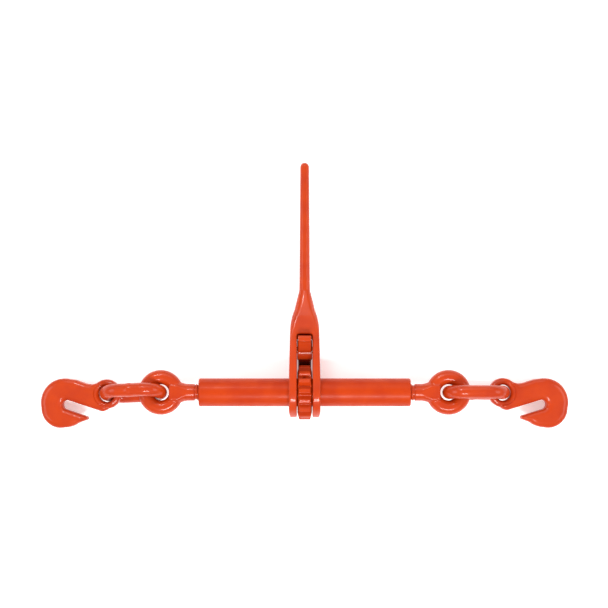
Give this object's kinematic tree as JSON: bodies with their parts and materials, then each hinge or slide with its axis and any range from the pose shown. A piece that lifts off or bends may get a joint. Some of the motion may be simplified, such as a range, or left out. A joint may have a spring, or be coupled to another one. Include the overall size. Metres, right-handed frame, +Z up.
{
  "type": "ratchet load binder",
  "caption": "Ratchet load binder: tubular barrel with opposed eye screws, ratchet handle with a double-ended pawl, and a joining link and grab hook at each end.",
  "frame": {"origin": "middle of the outline on the ground plane, below the handle", "axes": "+X along the barrel to the right-hand hook, +Y from the barrel towards the handle's tip, +Z up from the ground"},
  "size_m": [0.6402, 0.3214, 0.0651],
  "materials": {
    "tube_paint": "gloss orange-red enamel",
    "forging_paint": "gloss orange-red enamel over a forged skin",
    "gear_paint": "gloss orange-red enamel, thin on the tooth edges",
    "chain_paint": "gloss orange-red enamel",
    "plain_steel": "plain turned steel",
    "spring_steel": "oiled spring wire"
  },
  "bodies": {
    "barrel": {"barrel_tube": "tube_paint", "left_thread_nut": "plain_steel", "right_thread_nut": "plain_steel", "ratchet_gear": "gear_paint", "gear_pin": "gear_paint"},
    "handle": {"handle": "forging_paint", "pawl_pin": "plain_steel"},
    "pawl": {"pawl": "forging_paint"},
    "plunger": {"detent_plunger": "plain_steel", "detent_spring": "spring_steel"},
    "left_stop": {"left_stop_washer": "plain_steel"},
    "left_screw": {"left_eye_screw": "forging_paint", "left_snap_ring": "plain_steel"},
    "left_link": {"left_link": "chain_paint"},
    "left_hook": {"left_hook": "forging_paint"},
    "right_stop": {"right_stop_washer": "plain_steel"},
    "right_screw": {"right_eye_screw": "forging_paint", "right_snap_ring": "plain_steel"},
    "right_link": {"right_link": "chain_paint"},
    "right_hook": {"right_hook": "forging_paint"}
  },
  "joints": [
    {"name": "handle_turn", "type": "hinge", "parent": "barrel", "child": "handle", "pos_m": [0, -0.1157, 0.03257], "axis": [1, 0, 0], "continuous": true},
    {"name": "pawl_rock", "type": "hinge", "parent": "handle", "child": "pawl", "pos_m": [0, -0.06495, 0.02752], "axis": [1, 0, 0], "range_deg": [-8, 73]},
    {"name": "plunger_slide", "type": "slide", "parent": "handle", "child": "plunger", "axis": [0, 0.9951, -0.0992], "range_m": [0, 0.001], "stiffness_N_per_m": 2000, "deforming": ["detent_spring"]},
    {"name": "left_stop_slide", "type": "slide", "parent": "barrel", "child": "left_stop", "axis": [-1, 0, 0], "range_m": [0, 0.1]},
    {"name": "left_screw_turn", "type": "hinge", "parent": "left_stop", "child": "left_screw", "pos_m": [0, -0.1157, 0.03257], "axis": [1, 0, 0], "range_deg": [0, 9000]},
    {"name": "left_link_swing", "type": "hinge", "parent": "left_screw", "child": "left_link", "pos_m": [-0.19207, -0.11577, 0.03231], "axis": [0, 0.9724, -0.2334], "range_deg": [-62.7, 87.3]},
    {"name": "left_hook_swing", "type": "hinge", "parent": "left_link", "child": "left_hook", "pos_m": [-0.23819, -0.11811, 0.02255], "axis": [-0.1792, 0, 0.9838], "range_deg": [-80, 80]},
    {"name": "right_stop_slide", "type": "slide", "parent": "barrel", "child": "right_stop", "axis": [1, 0, 0], "range_m": [0, 0.1]},
    {"name": "right_screw_turn", "type": "hinge", "parent": "right_stop", "child": "right_screw", "pos_m": [0, -0.1157, 0.03257], "axis": [1, 0, 0], "range_deg": [0, 9000]},
    {"name": "right_link_swing", "type": "hinge", "parent": "right_screw", "child": "right_link", "pos_m": [0.19208, -0.11572, 0.03233], "axis": [0, 0.9968, -0.0802], "range_deg": [-86, 64]},
    {"name": "right_hook_swing", "type": "hinge", "parent": "right_link", "child": "right_hook", "pos_m": [0.2384, -0.11645, 0.02331], "axis": [0.1887, 0, 0.982], "range_deg": [-80, 80]}
  ],
  "couplings": [
    {"joint": "left_stop_slide", "follows": "left_screw_turn", "m_per_rad": 0.00063661},
    {"joint": "right_stop_slide", "follows": "left_screw_turn", "m_per_rad": 0.00063661},
    {"joint": "right_screw_turn", "follows": "left_screw_turn", "ratio": 1}
  ]
}
